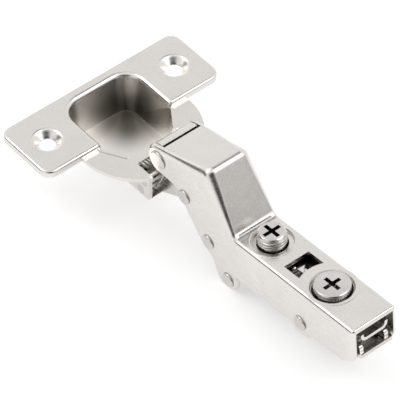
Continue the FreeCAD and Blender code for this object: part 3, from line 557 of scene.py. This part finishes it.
def on_cup_floor(first, second):
    """Whether an edge runs along the foot of the cup's wall, outside the channel."""
    level = all(abs(end.z + FLOOR_DEPTH) < NEAR for end in (first, second))
    outside = first.y > CHANNEL_Y and second.y > CHANNEL_Y
    return level and outside and (first - second).length > NEAR


def on_countersink(first, second):
    """Whether an edge is part of the top circle of a screw hole."""
    for end in (first, second):
        reach = math.hypot(abs(end.x) - SCREW_X, end.y - SCREW_Y)
        if abs(end.z) > NEAR or abs(reach - COUNTERSINK) > 2 * NEAR:
            return False
    return True


# %% The cup with its drawn corners
FLOOR_ROUND = 1.1 * MM
COUNTERSINK_ROUND = 0.55 * MM
CUP_EDGE = 0.2

cup = merged_copy("hinge_cup", "_drawn")
found = pick_edges(cup, on_cup_floor)
bpy.ops.mesh.bevel(offset=FLOOR_ROUND, segments=4, affect="EDGES", clamp_overlap=True)
bpy.ops.object.mode_set(mode="OBJECT")
print("edges at the foot of the wall:", found)
found = pick_edges(cup, on_countersink)
bpy.ops.mesh.bevel(offset=COUNTERSINK_ROUND, segments=4, affect="EDGES", clamp_overlap=True)
bpy.ops.object.mode_set(mode="OBJECT")
print("edges round the screw holes:", found)
soften(cup, CUP_EDGE)
finish_piece(cup, "hinge_cup", nickel_plate)
print(cup.name, len(cup.data.polygons), "faces")

# %% [markdown]
# ## The drawn inside of the cup
#
# The flange and the outside of the cup keep the bright plate, and only the pocket gets
# the drawn finish with its painted shade. The faces could be picked by hand, but then a
# changed mesh would lose them, so a test finds them: a wall stands upright and looks
# towards the middle of the pocket, and the floor lies level at the pocket's depth.

# %% The pocket's finish
POCKET_MIDDLE = Vector((0, 8 * MM, 0))
POCKET_FROM_Y = -1.5 * MM
UNDER_RIM = -1.2 * MM
UPRIGHT = 0.3
LEVEL = 0.9


def in_the_pocket(face):
    """Whether a face is a part of the pocket's wall or of its floor."""
    inward = POCKET_MIDDLE - face.center
    inward.z = 0
    looks_in = face.normal.dot(inward) > 0
    on_wall = looks_in and face.center.z < UNDER_RIM and abs(face.normal.z) < UPRIGHT
    on_floor = abs(face.center.z + FLOOR_DEPTH) < NEAR and face.normal.z > LEVEL
    return (on_wall or on_floor) and face.center.y > POCKET_FROM_Y


cup.data.materials.append(drawn_nickel_with_painted_shade)
drawn = [face for face in cup.data.polygons if in_the_pocket(face)]
for face in drawn:
    face.material_index = 1
print("drawn faces in the cup:", len(drawn))

# %% [markdown]
# ## The arm, the links, the pins and the springs
#
# The other pressed pieces get the same treatment, each with a bevel of its own width:
# the arm's edges are the roundest, and the small pieces inside it keep crisper ones. One
# width for all would be shorter to write, but it would make them look cast. A rivet's
# end is spread by a press, so its edge is rounder than that of a plain pin. A spring is
# round wire, which has no edge to bevel, and only its shading is smoothed.

# %% The other pressed pieces
rounded("hinge_arm", 0.25, nickel_plate)
outer_link = rounded("outer_link", 0.15, nickel_plate)
rounded("inner_link", 0.2, link_steel)
# The adjust plate gets the near-black painted shade of the arm's inside.
rounded("adjust_plate", 0.15, plate_in_painted_shade)
rounded("clip_base", 0.15, link_steel)
rounded("clip_lever", 0.15, nickel_plate)

# %% The rivets, the pins and the springs
RIVETS = ("front_link_rivet", "rear_link_rivet", "spacer_rivet", "lower_rivet", "tilt_pin")
PINS = ("outer_link_pin_right", "outer_link_pin_left", "inner_link_pin", "spring_pin",
        "lever_pin")
SPRINGS = ("closing_spring", "lever_spring")

for name in RIVETS:
    rounded(name, 0.24, pin_steel)
for name in PINS:
    rounded(name, 0.1, pin_steel)
for name in SPRINGS:
    rounded(name, 0, spring_steel)

# %% [markdown]
# ## The arm's own directions
#
# The arm lies at a small angle to the cup, so a piece for it is easier to model in the
# arm's own frame and to lay in place at the end. The cam's axis stands square on the
# arm's top face, so it gives the frame: across is X, along runs up the arm towards the
# cup, and out is the cam's axis. The frame starts on the top face, above the cam.

# %% The arm's frame
out = Vector(joints["depth_cam_turn"]["axis"])
across = Vector((1, 0, 0))
along = out.cross(across)
start = Vector(joints["depth_cam_turn"]["pos_m"])
ARM = Matrix(((across.x, along.x, out.x, start.x), (across.y, along.y, out.y, start.y),
              (across.z, along.z, out.z, start.z), (0, 0, 0, 1)))
TO_ARM = ARM.inverted()
cam_place = Vector((0, 0, 0))
screw_place = TO_ARM @ Vector(joints["side_screw_turn"]["pos_m"])
print("side screw from the cam in mm:", [round(side / MM, 2) for side in screw_place])


def lay_on_arm(piece):
    """Move a piece from the arm's frame to its place, in its mesh."""
    pick(piece)
    bpy.ops.object.transform_apply(location=True, rotation=True, scale=True)
    piece.data.transform(ARM)


def turned_round(name, profile, centre, pitch=0, turns=1, steps=64):
    """Turn a closed row of (radius, height) corners round an axis at (x, y) of the arm.

    With a pitch the row climbs as it turns, as a thread does."""
    bpy.ops.object.select_all(action="DESELECT")
    bpy.ops.mesh.primitive_circle_add(vertices=len(profile), radius=MM)
    piece = bpy.context.active_object
    piece.name = name
    piece.data.name = name
    for corner, (radius, height) in zip(piece.data.vertices, profile):
        corner.co = (radius * MM, 0, height * MM)
    turn = piece.modifiers.new("turn", "SCREW")
    turn.steps = steps
    turn.render_steps = steps
    turn.iterations = turns
    turn.screw_offset = pitch * MM
    turn.use_merge_vertices = pitch == 0
    turn.merge_threshold = 0.001 * MM
    apply_all(piece)
    bpy.ops.object.mode_set(mode="EDIT")
    bpy.ops.mesh.select_all(action="SELECT")
    bpy.ops.mesh.fill_holes(sides=len(profile))
    bpy.ops.mesh.select_all(action="SELECT")
    bpy.ops.mesh.normals_make_consistent(inside=False)
    bpy.ops.object.mode_set(mode="OBJECT")
    piece.location = (centre[0], centre[1], 0)
    lay_on_arm(piece)
    return piece


# %% [markdown]
# ## The two adjusting screws
#
# The side screw is a real machine screw, and its thread shows above the dish. The depth
# cam only turns, so its head is plain. Both have a pressed cross for the driver, whose
# deep walls are painted black as shade. The thread could be a bump in the
# finish, but its outline shows, so it is a ridge that climbs round the body. It starts
# just above the floor of the dish, because the hole in that floor tips past the screw as
# the arm is tilted. It is joined to the screw, so that the two turn as one piece.

# %% Painted shade in a cross recess
CROSS_REACH = 2.75
CROSS_LOWEST = 0.1
CROSS_LIP = 0.12


def paint_shade_in_the_cross(piece, centre, top):
    """Paint shade on the walls and floor of the cross recess with the black material."""
    piece.data.materials.append(painted_recess_shade)
    for face in piece.data.polygons:
        place = TO_ARM @ face.center
        reach = math.hypot(place.x - centre[0], place.y - centre[1])
        sunk = place.z > CROSS_LOWEST * MM and place.z < (top - CROSS_LIP) * MM
        if reach < CROSS_REACH * MM and sunk:
            face.material_index = 1


# %% The screws
SCREW_TOP = 3.3
CAM_TOP = 1.1
THREAD_PITCH = 0.85
THREAD_FOOT = 0.75 * THREAD_PITCH
THREAD_RADIUS = 3.62
THREAD_SUNK = 0.1
THREAD_HEIGHT = 0.3
THREAD_START = -0.7
THREAD_TURNS = 3
THREAD_STEPS = 48

screw = rounded("side_screw", 0.12, screw_steel)
paint_shade_in_the_cross(screw, screw_place, SCREW_TOP)
root = THREAD_RADIUS - THREAD_SUNK
ridge = turned_round("thread", [(root, 0), (root, THREAD_FOOT),
                                (THREAD_RADIUS + THREAD_HEIGHT, THREAD_FOOT / 2)],
                     screw_place, THREAD_PITCH, THREAD_TURNS, THREAD_STEPS)
ridge.data.transform(Matrix.Translation(out * THREAD_START * MM))
ridge.data.materials.append(screw_steel)
bpy.ops.object.select_all(action="DESELECT")
ridge.select_set(True)
screw.select_set(True)
bpy.context.view_layer.objects.active = screw
bpy.ops.object.join()
print(screw.name, len(screw.data.polygons), "faces with its thread")

cam = rounded("depth_cam", 0.18, screw_steel)
paint_shade_in_the_cross(cam, cam_place, CAM_TOP)

# %% [markdown]
# ## The slit at the nose
#
# The outer link is rolled round its rivet, and a narrow slit stays between the end of the
# roll and the arm's nose. Little light gets into it, so it looks black. A black strip could
# be laid in the slit, but there is no room for it, so the cut end of the roll gets the
# black material as painted shade. Its faces are found by where they lie and which way
# they look, in the arm's frame.

# %% The painted shade at the end of the roll
NOSE_ALONG = 52 * MM
NOSE_OUT = 9.5 * MM
LOOKS_BACK = -0.6

outer_link.data.materials.append(painted_recess_shade)
turn_to_arm = TO_ARM.to_3x3()
slit_shaded_faces = 0
for face in outer_link.data.polygons:
    place = TO_ARM @ face.center
    looks = turn_to_arm @ face.normal
    if place.y > NOSE_ALONG and place.z > NOSE_OUT and looks.y < LOOKS_BACK:
        face.material_index = 1
        slit_shaded_faces += 1
print("black faces in the slit:", slit_shaded_faces)

# %% [markdown]
# ## The rings round the screws
#
# Each screw stands in a round dish of the arm, and the press leaves a low ring round it.
# It could be pulled up out of the arm's own mesh, but those faces are large and uneven.
# So it is a piece of its own: a low oval section turned about the screw's axis, with its
# lower half sunk in the arm.

# %% The dish rings
RING_STEPS = 12


def dish_ring(name, centre, radius, wide, high):
    """A low ring on the arm's top face round a screw."""
    profile = []
    for step in range(RING_STEPS):
        angle = 2 * math.pi * step / RING_STEPS
        profile.append((radius + wide * math.cos(angle), high * math.sin(angle)))
    ring = turned_round(name, profile, centre)
    smooth(ring, 60)
    ring.data.materials.append(nickel_plate)
    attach(ring, body_of["hinge_arm"])
    print(ring.name, len(ring.data.polygons), "faces")


dish_ring("cam_dish_ring", cam_place, radius=6.3, wide=0.55, high=0.05)
dish_ring("screw_dish_ring", screw_place, radius=6.0, wide=0.4, high=0.06)

# %% [markdown]
# ## The bead at the foot of the crank
#
# Where the crank meets the flat of the arm, the press sets a narrow bead across it, which
# stiffens the bend. It could be swept along a curve, but it is straight, so it is a round
# bar: pressed flat in edit mode, bevelled at its ends, tipped to the slant of the bend and
# laid into its hollow.

# %% The foot bead
BEAD_STEPS = 16
BEAD_LONG = 10.6
BEAD_WIDE = 1.5
BEAD_HIGH = 0.6
BEAD_EDGE = 0.2
FOOT_ALONG = 29.3
FOOT_OUT = 0.32
FOOT_SLANT = 18

bpy.ops.object.select_all(action="DESELECT")
bpy.ops.mesh.primitive_cylinder_add(vertices=BEAD_STEPS, radius=MM / 2,
                                    depth=BEAD_LONG * MM, rotation=(0, math.radians(90), 0))
bead = bpy.context.active_object
bead.name = "foot_bead"
bead.data.name = "foot_bead"
bpy.ops.object.transform_apply(rotation=True)
bpy.ops.object.mode_set(mode="EDIT")
bpy.ops.mesh.select_all(action="SELECT")
bpy.ops.transform.resize(value=(1, BEAD_WIDE, BEAD_HIGH))
bpy.ops.object.mode_set(mode="OBJECT")
ends = bead.modifiers.new("ends", "BEVEL")
ends.width = BEAD_EDGE * MM
ends.segments = 3
ends.limit_method = "ANGLE"
apply_all(bead)
smooth(bead, 50)
bead.rotation_euler = (math.radians(FOOT_SLANT), 0, 0)
bead.location = (0, FOOT_ALONG * MM, FOOT_OUT * MM)
lay_on_arm(bead)
# The bead takes the darker spring steel as painted shade, which dims the bright band at the crank's foot.
bead.data.materials.append(spring_steel)
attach(bead, body_of["hinge_arm"])
print(bead.name, len(bead.data.polygons), "faces")

# %% [markdown]
# ## Small parts in the openings
#
# Through the arm's window the end of the guide post shows, with a flat three-cornered
# cap pressed on it, and a small dimple of the plate beside it. In the open rear end a
# latch lies under the sill, painted dark as the shade there, and its bright three-cornered
# tip stands in the sill's window. Each is a flat outline pushed up to its thickness. An
# outline of three corners is a circle with three steps, so one helper makes them all. The
# dimple is round, so it is turned like the rings.

# %% Caps, tips and plates
def flat_piece(name, corners, top, thick, edge, stands_on, material):
    """A plate with the given (x, along) corners under a height, in the arm's frame."""
    bpy.ops.object.select_all(action="DESELECT")
    bpy.ops.mesh.primitive_circle_add(vertices=len(corners), radius=MM, fill_type="NGON")
    piece = bpy.context.active_object
    piece.name = name
    piece.data.name = name
    for corner, (x, y) in zip(piece.data.vertices, corners):
        corner.co = (x * MM, y * MM, (top - thick) * MM)
    bpy.ops.object.mode_set(mode="EDIT")
    bpy.ops.mesh.select_all(action="SELECT")
    bpy.ops.mesh.extrude_region_move(TRANSFORM_OT_translate={"value": (0, 0, thick * MM)})
    bpy.ops.mesh.select_all(action="SELECT")
    bpy.ops.mesh.normals_make_consistent(inside=False)
    bpy.ops.object.mode_set(mode="OBJECT")
    soften(piece, edge)
    lay_on_arm(piece)
    piece.data.materials.append(material)
    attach(piece, body_of[stands_on])
    print(piece.name, len(piece.data.polygons), "faces")


flat_piece("post_cap", [(-1.3, 11.7), (-1.2, 9.4), (1.1, 11.6)], top=-1.3, thick=0.5,
           edge=0.12, stands_on="clip_base", material=nickel_plate)
flat_piece("latch_plate_in_painted_shade", [(-3.6, -15.7), (3.6, -15.7), (3.6, -12.3), (-3.6, -12.3)],
           top=-9.85, thick=0.5, edge=0.1, stands_on="clip_base", material=plate_in_painted_shade)
flat_piece("latch_tip", [(0.4, -15.0), (2.8, -15.0), (2.8, -13.4)], top=-9.0, thick=0.5,
           edge=0.12, stands_on="clip_base", material=nickel_plate)

# %% The dimple of the plate
DIMPLE_PROFILE = [(0, -3.25), (0.75, -3.25), (0.65, -3.0), (0.4, -2.8), (0, -2.72)]
DIMPLE_PLACE = (-0.4 * MM, 14.1 * MM)

dimple = turned_round("plate_dimple", DIMPLE_PROFILE, DIMPLE_PLACE, steps=32)
smooth(dimple, 50)
dimple.data.materials.append(nickel_plate)
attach(dimple, body_of["adjust_plate"])
print(dimple.name, len(dimple.data.polygons), "faces")
